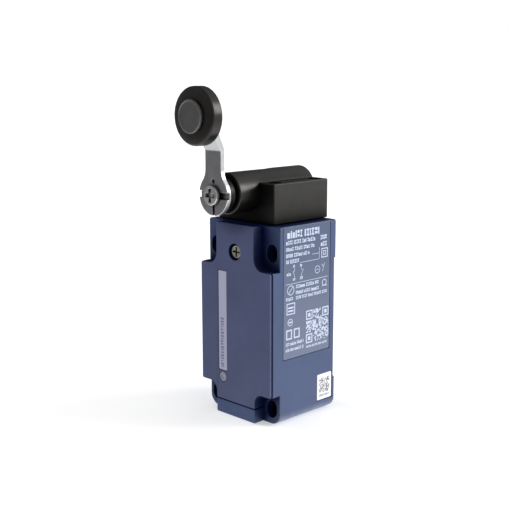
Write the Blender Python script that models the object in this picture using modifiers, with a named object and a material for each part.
"""Limit switch with a spring-return roller lever, a removable cover and its snap contacts.

Frame: X to the right of the cover, Y back to the mounting face (y = 0), Z up.
Sizes are in millimetres. Heights are measured from the base, and the world's zero height is
the line of the two lower fixing holes.
"""
import bpy
import bmesh
from math import acos, atan2, cos, pi, radians, sin, sqrt, tan
from mathutils import Matrix, Vector

MM = 0.001
GAP = 0.3
OVER = 1.0                      # how far a cutter passes a face

# Body
HALF_WIDTH = 19.3
DEPTH = 36.0
TOP = 76.1
FLOOR_Y = -31.2                 # floor of the four corner notches
FIXING_HEIGHT = 6.0
FIXING_PITCH = 60.0
FIXING_HALF_SPAN = 15.0
FIXING_SLOT = (5.3, 6.6)
BASE_FILLET = 4.5
NECK_TOP = 10.2                 # half width of the cover between the upper notches
NECK_BOTTOM = 10.6              # half width of the cover between the lower notches
NOTCH_TOP = 59.5
NOTCH_BOTTOM = 11.9
LIP_HEIGHT = 5.55
WALL_BACK = 2.2
PAD_RECESS = 0.65
PAD_LOW = 13.0
PAD_HIGH = 61.0
WING_FRONT = -34.9
WING_THICKNESS = 2.0
TOP_FILLET = 0.8                # fillet at the body's two top corners
CAVITY_WALL = 3.3
SCREW_BOSS_HEIGHTS = (61.0, 70.0)
SCREW_BOSS_BACK = -20.5
BLOCK_FOOT_HEIGHTS = (36.0, 44.0)

# Cover
COVER_FACE = 2.0
COVER_HALF = 18.9
COVER_CORE_HALF = 17.0
COVER_BACK = FLOOR_Y - GAP
COVER_LIP = 0.8
COVER_SCREW_HEIGHT = 65.3
SCREW_HOLE = 2.1
COVER_RECESS_FLOOR = -33.0      # floor of the recess that takes the cover screw's head
UPPER_FILLET = 4.5              # where the cover's edge turns in to the upper notches
LOWER_FILLET = 3.5
GASKET_FRONT = -33.2
GASKET_OUTER_INSET = 1.8
GASKET_INNER_INSET = 3.0

# Labels: the body's two lie on its right side and the cover's two on its front
LABEL_THICKNESS = 0.2
LABEL_POCKET_DEPTH = 0.5
LABEL_Y = (-29.0, -3.7)
LABEL_HEIGHTS = (25.7, 75.3)
STICKER_Y = (-9.8, -1.8)
STICKER_HEIGHTS = (5.2, 15.2)
STRIP_X = (-8.9, -4.9)
STRIP_HEIGHTS = (17.9, 56.9)
STRIP_BACK = -35.65
STRIP_POCKET_FLOOR = -35.3
MARK_POINT = (-6.9, 14.9)
MARK_RADIUS = 1.8

# Cable entry
ENTRY_Y = -17.0
ENTRY_RADIUS = 9.3
ENTRY_DEPTH = 12.0
ENTRY_CHAMFER = 0.9

# Head
AXIS_HEIGHT = 87.8
HEAD_HALF = 15.0
HEAD_BOTTOM = TOP + GAP
HEAD_TOP = 91.6
HEAD_Y = -15.0
HEAD_BACK = -0.2
BARREL_RADIUS = 7.8
BARREL_FRONT = -40.3
RIDGE_RADIUS = 7.95
HEAD_SCREW_SPAN = 11.0
HEAD_SCREW_ENDS = (84.8, 87.4)  # underside and top of the screw's head
BARREL_CHAMFER = 0.5
CAM_CHAMBER_RADIUS = 5.7
GASKET_RING = (8.5, 10.4)       # inner and outer radius of the seal under the head
GASKET_THICKNESS = 0.6
SCREW_WELL_FLOOR = 84.5

# Shaft and cam
SHAFT_RADIUS = 3.0
SPIGOT_RADIUS = 1.9
CAM_RADIUS = 4.3
CAM_FLAT = 3.1
CAM_Y = (-19.8, -10.5)
PLUNGER_TOP = AXIS_HEIGHT - CAM_RADIUS - 0.35

# Lever
LEVER_FRONT = -46.5
LEVER_THICKNESS = 2.0
LEVER_STEP = 4.2                # how far the roller end is set forward
HUB_RADIUS = 7.7
ARM_HALF = 4.2
NECK_FILLET = 7.0
BEND_LOW = 104.0
BEND_HIGH = 111.5
ROLLER_HEIGHT = 116.6
ROLLER_RADIUS = 10.6
ROLLER_Y = (-56.3, -51.0)
EYE_RADIUS = 5.6
AXLE_RADIUS = 2.6

# Contacts
BLOCK_HALF = 12.4
BLOCK_Y = (-22.0, -4.5)
BLOCK_HEIGHTS = (25.0, 55.0)
CONTACT_Y = (-23.9, -22.6)
BRIDGE_HEIGHTS = (40.0, 41.6)
TERMINAL_HEIGHTS = (31.0, 48.5)
TERMINAL_X = 9.0
BLOCK_SCREW_X = 10.2
BLOCK_SCREW_HEIGHT = 40.0
CONTACT_ROD_TOP = 60.3

# Screws: radii of shank and head, then tip, seat and face, the head's chamfer,
# and the cross drive's half length, half width and depth
COVER_SCREW = ((1.7, 2.9), (-22.6, -33.3, -35.1), 0.5, (1.9, 0.4, 1.0))
LEVER_SCREW = ((1.4, 3.7), (-39.2, -46.8, -48.4), 0.5, (2.6, 0.45, 1.0))
TERMINAL_SCREW = ((1.6, 2.7), (-15.0, -24.2, -26.4), 0.4, (1.9, 0.35, 0.9))
BLOCK_SCREW = ((1.2, 2.2), (-1.8, -22.3, -24.1), 0.3, (1.5, 0.3, 0.8))


def reset_scene():
    for item in list(bpy.data.objects):
        bpy.data.objects.remove(item, do_unlink=True)


def new_collection(name):
    made = bpy.data.collections.new(name)
    bpy.context.scene.collection.children.link(made)
    return made


reset_scene()
PARTS = new_collection("limit_switch")
CUTTERS = new_collection("cutters")


def material(name, colour, roughness, metallic=0.0):
    made = bpy.data.materials.new(name)
    made.use_nodes = True
    shader = made.node_tree.nodes["Principled BSDF"]
    shader.inputs["Base Color"].default_value = (*colour, 1.0)
    shader.inputs["Roughness"].default_value = roughness
    shader.inputs["Metallic"].default_value = metallic
    made.diffuse_color = (*colour, 1.0)
    return made


BLUE = material("blue_plastic", (0.065, 0.085, 0.19), 0.5)
COVER_BLUE = material("cover_blue_plastic", (0.06, 0.065, 0.13), 0.5)
BLACK = material("black_plastic", (0.03, 0.03, 0.03), 0.5)
ROLLER_BLACK = material("roller_nylon", (0.012, 0.012, 0.013), 0.3)
STEEL = material("zinc_plated_steel", (0.5, 0.5, 0.5), 0.35, 1.0)
DARK_STEEL = material("burnished_steel", (0.12, 0.12, 0.12), 0.45, 0.8)
BRASS = material("brass", (0.6, 0.45, 0.2), 0.3, 1.0)
SPRING_STEEL = material("spring_steel", (0.6, 0.6, 0.58), 0.25, 1.0)
BRONZE = material("sintered_bronze", (0.45, 0.3, 0.15), 0.5, 1.0)
RUBBER = material("black_rubber", (0.015, 0.015, 0.015), 0.8)
FOIL = material("label_foil", (0.15, 0.18, 0.25), 0.4)
PALE = material("pale_plate", (0.35, 0.36, 0.48), 0.4)
WHITE = material("white_paper", (0.75, 0.75, 0.8), 0.6)
CONTACT_GREY = material("grey_contact_plastic", (0.3, 0.31, 0.32), 0.5)
CONTACT_RED = material("red_contact_plastic", (0.45, 0.05, 0.04), 0.45)


def at(x, y, height):
    """World position in metres of a point in millimetres whose height is above the base."""
    return Vector((x, y, height - FIXING_HEIGHT)) * MM


def add_object(name, mesh, paint):
    made = bpy.data.objects.new(name, mesh)
    PARTS.objects.link(made)
    if paint:
        mesh.materials.append(paint)
    return made


def from_bmesh(name, shape, paint):
    mesh = bpy.data.meshes.new(name)
    shape.to_mesh(mesh)
    shape.free()
    return add_object(name, mesh, paint)


def box(name, low, high, paint=None):
    """A box between two corners, each (x, y, height)."""
    start = at(*low)
    end = at(*high)
    shape = bmesh.new()
    bmesh.ops.create_cube(shape, size=1.0)
    for vert in shape.verts:
        vert.co = Vector((start[i] + (vert.co[i] + 0.5) * (end[i] - start[i]) for i in range(3)))
    return from_bmesh(name, shape, paint)


AXIS_TURN = {
    "X": Matrix.Rotation(pi / 2, 4, "Y"),
    "Y": Matrix.Rotation(-pi / 2, 4, "X"),
    "Z": Matrix.Identity(4),
}


def cylinder(name, axis, centre, radius, start, end, paint=None, sides=32):
    """A cylinder along an axis, from start to end on it; centre gives the other two values."""
    along = {"X": 0, "Y": 1, "Z": 2}[axis]
    middle = list(centre)
    middle.insert(along, (start + end) / 2)
    shape = bmesh.new()
    bmesh.ops.create_cone(shape, cap_ends=True, segments=sides, radius1=radius * MM,
                          radius2=radius * MM, depth=(end - start) * MM)
    bmesh.ops.transform(shape, matrix=Matrix.Translation(at(*middle)) @ AXIS_TURN[axis],
                        verts=shape.verts)
    made = from_bmesh(name, shape, paint)
    smooth(made)
    return made


def smooth(item, angle=35.0):
    item.data.shade_smooth()
    item.data.set_sharp_from_angle(angle=radians(angle))


def turned(name, profile, paint, x=0.0, height=AXIS_HEIGHT, steps=32, closed=False):
    """A body of revolution about an axis along Y. The profile is (radius, y), back to front."""
    mesh = bpy.data.meshes.new(name)
    verts = [(radius * MM, 0.0, y * MM) for radius, y in profile]
    edges = [(i, i + 1) for i in range(len(verts) - 1)]
    if closed:
        edges.append((len(verts) - 1, 0))
    mesh.from_pydata(verts, edges, [])
    made = add_object(name, mesh, paint)
    made.matrix_world = Matrix.Translation(at(x, 0, height)) @ AXIS_TURN["Y"]
    spin = made.modifiers.new("turn", "SCREW")
    spin.steps = steps
    spin.render_steps = steps
    spin.use_merge_vertices = True
    spin.merge_threshold = 0.00001
    spin.use_smooth_shade = True
    return made


def bake(item):
    """Replaces a curve or a modified object by its own evaluated mesh, in world axes."""
    view = bpy.context.evaluated_depsgraph_get()
    view.update()
    mesh = bpy.data.meshes.new_from_object(item.evaluated_get(view))
    mesh.transform(item.matrix_world)
    shape = bmesh.new()
    shape.from_mesh(mesh)
    bmesh.ops.remove_doubles(shape, verts=shape.verts, dist=0.000001)
    bmesh.ops.dissolve_limit(shape, angle_limit=0.001, verts=shape.verts, edges=shape.edges)
    bmesh.ops.recalc_face_normals(shape, faces=shape.faces)
    shape.to_mesh(mesh)
    shape.free()
    name = item.name
    paint = item.active_material
    bpy.data.objects.remove(item, do_unlink=True)
    mesh.materials.clear()
    return add_object(name, mesh, paint)


PLANES = {
    "XZ": Matrix(((1, 0, 0, 0), (0, 0, -1, 0), (0, 1, 0, 0), (0, 0, 0, 1))),
    "YZ": Matrix(((0, 0, 1, 0), (1, 0, 0, 0), (0, 1, 0, 0), (0, 0, 0, 1))),
    "XY": Matrix.Identity(4),
}


def outline(name, plane, loops, start, end, paint=None):
    """A flat outline in a plane, extruded between two places on the third axis."""
    middle = (start + end) / 2
    place = {"XZ": (0, middle, 0), "YZ": (middle, 0, 0), "XY": (0, 0, middle)}[plane]
    curve = bpy.data.curves.new(name, "CURVE")
    curve.dimensions = "2D"
    curve.fill_mode = "BOTH"
    curve.extrude = abs(end - start) / 2 * MM
    for loop in loops:
        spline = curve.splines.new("POLY")
        spline.points.add(len(loop) - 1)
        for point, (u, v) in zip(spline.points, loop):
            point.co = (u * MM, v * MM, 0.0, 1.0)
        spline.use_cyclic_u = True
    item = bpy.data.objects.new(name, curve)
    PARTS.objects.link(item)
    if paint:
        curve.materials.append(paint)
    item.matrix_world = Matrix.Translation(at(*place)) @ PLANES[plane]
    return bake(item)


def arc(centre, radius, first, last, count):
    """Points on an arc, from the first angle to the last, in degrees."""
    angles = [radians(first + (last - first) * i / count) for i in range(count + 1)]
    return [(centre[0] + radius * cos(a), centre[1] + radius * sin(a)) for a in angles]


def rounded(corners, count=5):
    """A closed outline whose corners (u, v, radius) are rounded."""
    points = []
    for i, (u, v, radius) in enumerate(corners):
        if radius <= 0:
            points.append((u, v))
            continue
        here = Vector((u, v))
        before = (Vector(corners[i - 1][:2]) - here).normalized()
        after = (Vector(corners[(i + 1) % len(corners)][:2]) - here).normalized()
        half = acos(max(-1.0, min(1.0, before.dot(after)))) / 2
        start = here + before * (radius / tan(half))
        end = here + after * (radius / tan(half))
        centre = here + (before + after).normalized() * (radius / sin(half))
        first = atan2(start.y - centre.y, start.x - centre.x)
        turn = atan2(end.y - centre.y, end.x - centre.x) - first
        turn = (turn + pi) % (2 * pi) - pi
        for step in range(count + 1):
            angle = first + turn * step / count
            points.append((centre.x + radius * cos(angle), centre.y + radius * sin(angle)))
    return points


def mirrored(corners):
    """A closed outline from its right half, listed from the bottom up."""
    return corners + [(-u, v, radius) for u, v, radius in reversed(corners)]


MANY_CUTS = ("housing", "cover", "head_body")   # here the exact solver leaves open edges


def boolean(item, other, operation):
    step = item.modifiers.new(operation.lower(), "BOOLEAN")
    step.operation = operation
    step.solver = "MANIFOLD" if item.name in MANY_CUTS else "EXACT"
    step.object = other
    PARTS.objects.unlink(other)
    CUTTERS.objects.link(other)
    other.hide_render = True
    other.display_type = "WIRE"


def cut(item, *others):
    for other in others:
        boolean(item, other, "DIFFERENCE")


def join(item, *others):
    for other in others:
        boolean(item, other, "UNION")


def bevel(item, width, segments=2, angle=40.0):
    step = item.modifiers.new("edges", "BEVEL")
    step.width = width * MM
    step.segments = segments
    step.limit_method = "ANGLE"
    step.angle_limit = radians(angle)
    step.use_clamp_overlap = True


def move_origin(item, point):
    """Puts an object's origin on a point without moving its shape."""
    offset = item.matrix_world.inverted() @ point
    item.data.transform(Matrix.Translation(-offset))
    item.matrix_world = item.matrix_world @ Matrix.Translation(offset)


def cross_outline(inset, wide):
    """The cover's outline: wide in the middle, narrow between the corner notches."""
    return rounded(mirrored([
        (NECK_BOTTOM - inset, LIP_HEIGHT + GAP + inset, 0.5),
        (NECK_BOTTOM - inset, NOTCH_BOTTOM + inset, LOWER_FILLET),
        (wide - inset, NOTCH_BOTTOM + inset, 0.6),
        (wide - inset, NOTCH_TOP - inset, 0.6),
        (NECK_TOP - inset, NOTCH_TOP - inset, UPPER_FILLET),
        (NECK_TOP - inset, TOP - inset, 0.6),
    ]))


def slot_outline(x, height, width, tall):
    """A slot with round ends, upright."""
    radius = width / 2
    rise = (tall - width) / 2
    upper = arc((x, height + rise), radius, 0, 180, 10)
    lower = arc((x, height - rise), radius, 180, 360, 10)
    return upper + lower


FIXING_POINTS = [(x, h) for x in (-FIXING_HALF_SPAN, FIXING_HALF_SPAN)
                 for h in (FIXING_HEIGHT, FIXING_HEIGHT + FIXING_PITCH)]
HEAD_SCREW_POINTS = [(x, HEAD_Y + dy) for x in (-HEAD_SCREW_SPAN, HEAD_SCREW_SPAN)
                     for dy in (-HEAD_SCREW_SPAN, HEAD_SCREW_SPAN)]


def front_waste():
    """Boxes cut from the front of the housing, so that the lip and the two side wings stay."""
    far = HALF_WIDTH + OVER
    front = -DEPTH - OVER
    inner = HALF_WIDTH - WING_THICKNESS
    corners = [((-far, front, NOTCH_TOP), (far, FLOOR_Y, TOP + OVER)),
               ((-far, front, -OVER), (-NECK_BOTTOM, FLOOR_Y, NOTCH_BOTTOM)),
               ((NECK_BOTTOM, front, -OVER), (far, FLOOR_Y, NOTCH_BOTTOM)),
               ((-inner, front, LIP_HEIGHT), (inner, FLOOR_Y, NOTCH_TOP + OVER)),
               ((-far, front - OVER, NOTCH_BOTTOM - 2), (far, WING_FRONT, NOTCH_TOP + 2))]
    return [box("front_waste", low, high) for low, high in corners]


def make_housing():
    shell = outline("housing", "XZ", [rounded([
        (-HALF_WIDTH, 0, BASE_FILLET), (HALF_WIDTH, 0, BASE_FILLET),
        (HALF_WIDTH, TOP, TOP_FILLET), (-HALF_WIDTH, TOP, TOP_FILLET)], 8)],
                    -DEPTH, 0, BLUE)
    cut(shell, *front_waste())
    cut(shell, outline("cavity", "XZ", [cross_outline(CAVITY_WALL, COVER_CORE_HALF)],
                       FLOOR_Y - OVER, -WALL_BACK))
    join(shell, box("cover_screw_boss", (-8.0, FLOOR_Y + 0.2, SCREW_BOSS_HEIGHTS[0]),
                    (8.0, SCREW_BOSS_BACK, SCREW_BOSS_HEIGHTS[1])))
    join(shell, box("block_foot", (-BLOCK_HALF, BLOCK_Y[1] + GAP, BLOCK_FOOT_HEIGHTS[0]),
                    (BLOCK_HALF, -WALL_BACK + OVER, BLOCK_FOOT_HEIGHTS[1])))
    cut(shell, cylinder("cover_thread", "Y", (0, COVER_SCREW_HEIGHT), SCREW_HOLE,
                        FLOOR_Y - OVER, -22.0))
    for x in (-BLOCK_SCREW_X, BLOCK_SCREW_X):
        cut(shell, cylinder("block_thread", "Y", (x, BLOCK_SCREW_HEIGHT), 1.5, -6.0, -1.2, sides=16))
    for x, height in FIXING_POINTS:
        cut(shell, outline("fixing_slot", "XZ", [slot_outline(x, height, *FIXING_SLOT)],
                           FLOOR_Y - OVER, OVER))
    cut(shell, box("pad_recess", (-HALF_WIDTH - OVER, -PAD_RECESS, PAD_LOW),
                   (HALF_WIDTH + OVER, OVER, PAD_HIGH)))
    cut(shell, cylinder("cable_entry", "Z", (0, ENTRY_Y), ENTRY_RADIUS, -OVER, ENTRY_DEPTH,
                        sides=48))
    cut(shell, cylinder("entry_chamfer", "Z", (0, ENTRY_Y), ENTRY_RADIUS + ENTRY_CHAMFER,
                        -OVER, ENTRY_CHAMFER, sides=48))
    cut(shell, cylinder("plunger_passage", "Z", (0, HEAD_Y), 3.0, 70.0, TOP + OVER))
    for x, y in HEAD_SCREW_POINTS:
        cut(shell, cylinder("head_thread", "Z", (x, y), 1.9, 70.5, TOP + OVER, sides=16))
    for ys, heights in ((LABEL_Y, LABEL_HEIGHTS), (STICKER_Y, STICKER_HEIGHTS)):
        cut(shell, box("label_pocket",
                       (HALF_WIDTH - LABEL_POCKET_DEPTH, ys[0] - GAP, heights[0] - GAP),
                       (HALF_WIDTH + OVER, ys[1] + GAP, heights[1] + GAP)))
    smooth(shell)


def make_cover():
    cover = outline("cover", "XZ", [cross_outline(0.0, COVER_HALF)], -DEPTH, COVER_BACK, COVER_BLUE)
    for side in (-1, 1):
        left, right = sorted((side * COVER_CORE_HALF, side * (COVER_HALF + OVER)))
        cut(cover, box("side_step", (left, -DEPTH + COVER_LIP, NOTCH_BOTTOM - OVER),
                       (right, COVER_BACK + OVER, NOTCH_TOP + OVER)))
    cut(cover, outline("cover_pocket", "XZ", [cross_outline(1.5, COVER_CORE_HALF)],
                       -DEPTH + COVER_FACE, COVER_BACK + OVER))
    join(cover, cylinder("screw_sleeve", "Y", (0, COVER_SCREW_HEIGHT), 4.6,
                         -DEPTH + COVER_FACE - 0.5, COVER_BACK))
    cut(cover, cylinder("screw_recess", "Y", (0, COVER_SCREW_HEIGHT), 3.2, -DEPTH - OVER,
                        COVER_RECESS_FLOOR))
    cut(cover, cylinder("screw_hole", "Y", (0, COVER_SCREW_HEIGHT), SCREW_HOLE, -DEPTH,
                        COVER_BACK + OVER))
    cut(cover, box("strip_pocket", (STRIP_X[0] - GAP, -DEPTH - OVER, STRIP_HEIGHTS[0] - GAP),
                   (STRIP_X[1] + GAP, STRIP_POCKET_FLOOR, STRIP_HEIGHTS[1] + GAP)))
    cut(cover, cylinder("mark_pocket", "Y", MARK_POINT, MARK_RADIUS + GAP, -DEPTH - OVER,
                        STRIP_POCKET_FLOOR, sides=32))
    smooth(cover)
    outer = cross_outline(GASKET_OUTER_INSET, COVER_CORE_HALF)
    inner = cross_outline(GASKET_INNER_INSET, COVER_CORE_HALF)
    outline("cover_gasket", "XZ", [outer, inner], GASKET_FRONT, FLOOR_Y - GAP, RUBBER)
    box("name_strip", (STRIP_X[0], -DEPTH, STRIP_HEIGHTS[0]),
        (STRIP_X[1], STRIP_BACK, STRIP_HEIGHTS[1]), PALE)
    cylinder("round_mark", "Y", MARK_POINT, MARK_RADIUS, -DEPTH, STRIP_BACK, PALE, 32)


def cross_recess(item, x, y, height, reach, width, depth, axis="Y"):
    """Cuts a cross drive into a screw head whose face is at y, or on top where the axis is Z."""
    for wide, tall in ((reach, width), (width, reach)):
        if axis == "Y":
            tool = box("drive", (x - wide, y - OVER, height - tall),
                       (x + wide, y + depth, height + tall))
        else:
            tool = box("drive", (x - wide, y - tall, height - depth),
                       (x + wide, y + tall, height + OVER))
        cut(item, tool)


def screw(name, x, height, sizes, steps=24):
    """A screw along Y, whose head faces the front."""
    radii, stations, chamfer, drive = sizes
    shank, head = radii
    tip, seat, face = stations
    made = turned(name, [(0, tip), (shank, tip), (shank, seat), (head, seat), (head, face + chamfer),
                         (head - chamfer, face), (0, face)], STEEL, x, height, steps)
    cross_recess(made, x, face, height, *drive)


def make_labels():
    for name, ys, heights, paint in (("rating_label", LABEL_Y, LABEL_HEIGHTS, FOIL),
                                     ("matrix_sticker", STICKER_Y, STICKER_HEIGHTS, WHITE)):
        box(name, (HALF_WIDTH - LABEL_THICKNESS, ys[0], heights[0]),
            (HALF_WIDTH, ys[1], heights[1]), paint)


def ring_outline(spare):
    """The seal under the head, grown by spare on both sides."""
    inner, outer = GASKET_RING
    return [arc((0, HEAD_Y), radius, 0, 350, 35) for radius in (outer + spare, inner - spare)]


def make_head():
    head = box("head_body", (-HEAD_HALF, -2 * HEAD_HALF, HEAD_BOTTOM),
               (HEAD_HALF, HEAD_BACK, HEAD_TOP), BLACK)
    bevel(head, 0.4)
    barrel = [(0, HEAD_BACK + 0.1), (RIDGE_RADIUS, HEAD_BACK + 0.1), (RIDGE_RADIUS, -15.8),
              (BARREL_RADIUS, -18.8), (BARREL_RADIUS, BARREL_FRONT + BARREL_CHAMFER),
              (BARREL_RADIUS - BARREL_CHAMFER, BARREL_FRONT), (0, BARREL_FRONT)]
    join(head, turned("barrel", barrel, None, steps=56))
    cut(head, cylinder("barrel_bore", "Y", (0, AXIS_HEIGHT), 5.0, BARREL_FRONT - OVER, -27.0))
    cut(head, cylinder("cam_chamber", "Y", (0, AXIS_HEIGHT), CAM_CHAMBER_RADIUS, -28.0, -8.0))
    cut(head, box("cam_pit", (-5.5, -26.0, 78.9), (5.5, -8.5, AXIS_HEIGHT)))
    cut(head, cylinder("rear_bore", "Y", (0, AXIS_HEIGHT), 4.3, -9.0, -2.5))
    cut(head, cylinder("spring_well", "Z", (0, HEAD_Y), 4.9, 77.7, 83.0))
    cut(head, cylinder("stem_hole", "Z", (0, HEAD_Y), 2.3, HEAD_BOTTOM - OVER, 79.0))
    cut(head, outline("gasket_groove", "XY", ring_outline(GAP), HEAD_BOTTOM - OVER,
                      HEAD_BOTTOM + GASKET_THICKNESS + GAP))
    for x, y in HEAD_SCREW_POINTS:
        cut(head, cylinder("screw_well", "Z", (x, y), 3.0, SCREW_WELL_FLOOR, HEAD_TOP + OVER))
        cut(head, cylinder("screw_way", "Z", (x, y), 1.9, HEAD_BOTTOM - OVER,
                           SCREW_WELL_FLOOR + GAP, sides=16))
    smooth(head)
    outline("head_gasket", "XY", ring_outline(0.0), HEAD_BOTTOM, HEAD_BOTTOM + GASKET_THICKNESS,
            RUBBER)
    for i, (x, y) in enumerate(HEAD_SCREW_POINTS, 1):
        make_head_screw(f"head_screw_{i}", x, y)


def make_head_screw(name, x, y):
    seat, top = HEAD_SCREW_ENDS
    made = cylinder(name, "Z", (x, y), 1.6, 71.0, seat + 0.7, STEEL, 24)
    join(made, cylinder("screw_head", "Z", (x, y), 2.6, seat, top))
    cross_recess(made, x, y, top, 1.7, 0.35, 1.0, "Z")
    smooth(made)


SHAFT_RINGS = (
    # name, outer and inner radius, back and front end, finish
    ("front_bush", 4.7, 3.3, -28.2, -37.6, BRONZE),
    ("rear_bush", 4.0, 2.2, -2.8, -7.2, BRONZE),
    ("shaft_seal", 4.7, 3.3, -38.0, -40.0, RUBBER),
    ("shaft_clip", 3.3, 2.2, -8.9, -9.7, SPRING_STEEL),
)


def make_shaft():
    """The drive disc, the shaft and its rear spigot are one turned piece."""
    turned("shaft", [(0, -3.8), (1.6, -3.8), (SPIGOT_RADIUS, -4.2), (SPIGOT_RADIUS, -20.2),
                     (SHAFT_RADIUS, -20.2), (SHAFT_RADIUS, -41.0), (6.3, -41.0), (6.3, -43.7),
                     (5.8, -44.2), (1.7, -44.2), (1.7, -38.5), (0, -38.5)], STEEL)
    for name, outer, inner, back, front, paint in SHAFT_RINGS:
        turned(name, [(outer, back), (outer, front), (inner, front), (inner, back)], paint,
               steps=24, closed=True)
    make_cam()


def make_cam():
    """A ring on the spigot with one flat, which faces down at rest."""
    reach = sqrt(CAM_RADIUS ** 2 - CAM_FLAT ** 2)
    low = -90 + 180 / pi * atan2(reach, CAM_FLAT)
    ring = arc((0, AXIS_HEIGHT), CAM_RADIUS, low, 180 - low, 36)
    bore = arc((0, AXIS_HEIGHT), SPIGOT_RADIUS + GAP, 0, 345, 23)
    cam = outline("cam", "XZ", [ring, bore], *CAM_Y, DARK_STEEL)
    smooth(cam)
    move_origin(cam, at(0, (CAM_Y[0] + CAM_Y[1]) / 2, AXIS_HEIGHT))


def coil(name, centre, radius, wire, low, high, turns, paint):
    """A compression spring that stands on low."""
    per_turn = 12
    count = int(turns * per_turn)
    curve = bpy.data.curves.new(name, "CURVE")
    curve.dimensions = "3D"
    curve.bevel_depth = wire * MM
    curve.bevel_resolution = 1
    curve.use_fill_caps = True
    spline = curve.splines.new("POLY")
    spline.points.add(count)
    base = at(centre[0], centre[1], low + wire)
    rise = (high - low - 2 * wire) * MM
    for i, point in enumerate(spline.points):
        angle = 2 * pi * i / per_turn
        share = i / count
        point.co = (base.x + radius * MM * cos(angle), base.y + radius * MM * sin(angle),
                    base.z + rise * share, 1.0)
    item = bpy.data.objects.new(name, curve)
    PARTS.objects.link(item)
    curve.materials.append(paint)
    made = bake(item)
    smooth(made, 60)
    move_origin(made, at(centre[0], centre[1], low))


def make_plunger():
    plunger = cylinder("head_plunger", "Z", (0, HEAD_Y), 4.4, PLUNGER_TOP - 1.4, PLUNGER_TOP,
                       DARK_STEEL)
    join(plunger, cylinder("stem", "Z", (0, HEAD_Y), 1.9, CONTACT_ROD_TOP + GAP, PLUNGER_TOP - 1.0))
    smooth(plunger)
    move_origin(plunger, at(0, HEAD_Y, PLUNGER_TOP))
    coil("return_spring", (0, HEAD_Y), 3.2, 0.3, 78.0, PLUNGER_TOP - 1.7, 2.5, SPRING_STEEL)


def make_lever():
    """A stamped plate: its front outline crossed with its bent side view."""
    reach = HUB_RADIUS + NECK_FILLET
    rise = sqrt(reach ** 2 - (ARM_HALF + NECK_FILLET) ** 2)
    meet = 180 / pi * atan2(rise, ARM_HALF + NECK_FILLET)
    right_neck = arc((ARM_HALF + NECK_FILLET, AXIS_HEIGHT + rise), NECK_FILLET, 180 + meet, 180, 6)
    left_neck = [(-x, h) for x, h in reversed(right_neck)]
    bottom = arc((0, AXIS_HEIGHT), HUB_RADIUS, -180 - meet, meet, 40)
    eye = arc((0, ROLLER_HEIGHT), EYE_RADIUS, 0, 180, 18)
    face = bottom + right_neck + [(ARM_HALF, BEND_LOW)] + eye + [(-ARM_HALF, BEND_LOW)] + left_neck
    lever = outline("lever_arm", "XZ", [face], -60, -40, STEEL)
    back = LEVER_FRONT + LEVER_THICKNESS
    side = rounded([
        (LEVER_FRONT, 70, 0), (back, 70, 0), (back, BEND_LOW + 0.6, 3.5),
        (back - LEVER_STEP, BEND_HIGH + 0.6, 1.5), (back - LEVER_STEP, 130, 0),
        (LEVER_FRONT - LEVER_STEP, 130, 0), (LEVER_FRONT - LEVER_STEP, BEND_HIGH, 3.5),
        (LEVER_FRONT, BEND_LOW, 1.5)])
    boolean(lever, outline("side_view", "YZ", [side], -20, 20), "INTERSECT")
    cut(lever, cylinder("hub_hole", "Y", (0, AXIS_HEIGHT), 2.2, -50, -40))
    cut(lever, cylinder("axle_hole", "Y", (0, ROLLER_HEIGHT), AXLE_RADIUS + GAP, -60, -40))
    for x_reach, h_reach in ((10, 1.2), (0.65, 10)):
        cut(lever, box("hub_groove", (-x_reach, -50, AXIS_HEIGHT - h_reach),
                       (x_reach, LEVER_FRONT + 1.1, AXIS_HEIGHT + min(h_reach, 3.4))))
    cut(lever, cylinder("index_hole", "Y", (0, AXIS_HEIGHT + 5.0), 0.8, -50, -40, sides=20))
    smooth(lever)
    move_origin(lever, at(0, LEVER_FRONT, AXIS_HEIGHT))
    screw("lever_screw", 0, AXIS_HEIGHT, LEVER_SCREW, 32)


def make_roller():
    front, back = ROLLER_Y
    edge = 0.9
    corner = [(ROLLER_RADIUS - edge + edge * sin(radians(a)), front + edge - edge * cos(radians(a)))
              for a in (90, 45, 0)]
    bore = AXLE_RADIUS + GAP
    turned("roller", [(bore, back), (ROLLER_RADIUS - 0.4, back), (ROLLER_RADIUS, back - 0.4), *corner,
                      (bore, front)], ROLLER_BLACK, 0, ROLLER_HEIGHT, 56, True)
    turned("roller_axle", [(0, -47.3), (3.6, -47.3), (4.0, -47.6), (4.0, -48.3), (AXLE_RADIUS, -48.3),
                           (AXLE_RADIUS, front - GAP), (6.1, front - GAP), (6.1, -57.3), (5.8, -57.7),
                           (0, -57.7)], DARK_STEEL, 0, ROLLER_HEIGHT, 40)


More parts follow.
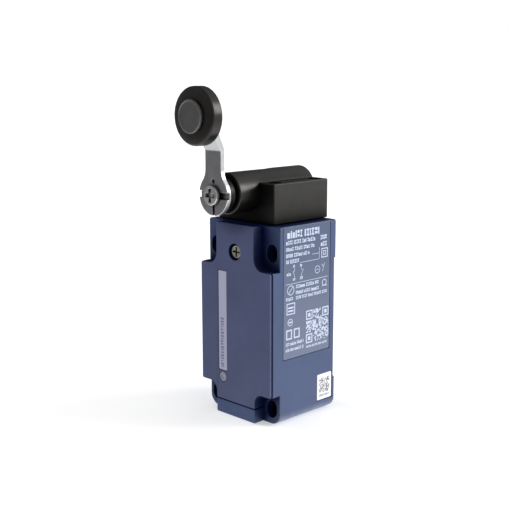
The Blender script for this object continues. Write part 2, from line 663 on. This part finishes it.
def make_contacts():
    base = box("contact_base", (-BLOCK_HALF, BLOCK_Y[0], BLOCK_HEIGHTS[0]),
               (BLOCK_HALF, BLOCK_Y[1], BLOCK_HEIGHTS[1]), CONTACT_GREY)
    bevel(base, 0.5)
    cut(base, box("plunger_channel", (-3.4, BLOCK_Y[0] - OVER, 27.0),
                  (3.4, -12.0, BLOCK_HEIGHTS[1] + OVER)))
    for x in (-BLOCK_SCREW_X, BLOCK_SCREW_X):
        cut(base, cylinder("block_way", "Y", (x, BLOCK_SCREW_HEIGHT), 1.5, -30, 0, sides=16))
    for x in (-TERMINAL_X, TERMINAL_X):
        for height in TERMINAL_HEIGHTS:
            cut(base, cylinder("terminal_way", "Y", (x, height), 1.9, -30, -14, sides=16))
    smooth(base)
    rod = box("contact_plunger", (-3.0, BLOCK_Y[0], 31.0), (3.0, -12.4, CONTACT_ROD_TOP),
              CONTACT_RED)
    bevel(rod, 0.4)
    move_origin(rod, at(0, HEAD_Y, CONTACT_ROD_TOP))
    bar = box("moving_bridge", (-7.4, CONTACT_Y[0], BRIDGE_HEIGHTS[0]),
              (7.4, CONTACT_Y[1], BRIDGE_HEIGHTS[1]), BRASS)
    bevel(bar, 0.2)
    move_origin(bar, at(0, CONTACT_Y[0], BRIDGE_HEIGHTS[0]))
    coil("contact_spring", (0, -17.0), 2.2, 0.35, 27.3, 30.7, 2.5, SPRING_STEEL)
    low, high = TERMINAL_HEIGHTS
    for side, word in ((-1, "left"), (1, "right")):
        make_fixed_contact(f"fixed_contact_open_{word}", side, 28.0, 35.0, 38.1, low)
        make_fixed_contact(f"fixed_contact_closed_{word}", side, 51.5, 45.0, 41.9, high)
        for place, height in (("low", low), ("high", high)):
            screw(f"terminal_screw_{place}_{word}", side * TERMINAL_X, height, TERMINAL_SCREW)
        screw(f"block_screw_{word}", side * BLOCK_SCREW_X, BLOCK_SCREW_HEIGHT, BLOCK_SCREW)


def make_fixed_contact(name, side, far, shoulder, near, screw_height):
    """An L-shaped blade: a broad end under the terminal screw and a narrow one at the bridge.

    far, shoulder and near are heights, from the screw's end to the bridge's."""
    blade = outline(name, "XZ", [[(side * 4.6, near), (side * 7.2, near), (side * 7.2, shoulder),
                                  (side * 12.0, shoulder), (side * 12.0, far), (side * 4.6, far)]],
                    *CONTACT_Y, BRASS)
    cut(blade, cylinder("terminal_hole", "Y", (side * TERMINAL_X, screw_height), 1.9, -30, -20,
                        sides=16))


make_housing()
make_cover()
screw("cover_screw", 0, COVER_SCREW_HEIGHT, COVER_SCREW, 32)
make_labels()
make_head()
make_shaft()
make_plunger()
make_lever()
make_roller()
make_contacts()
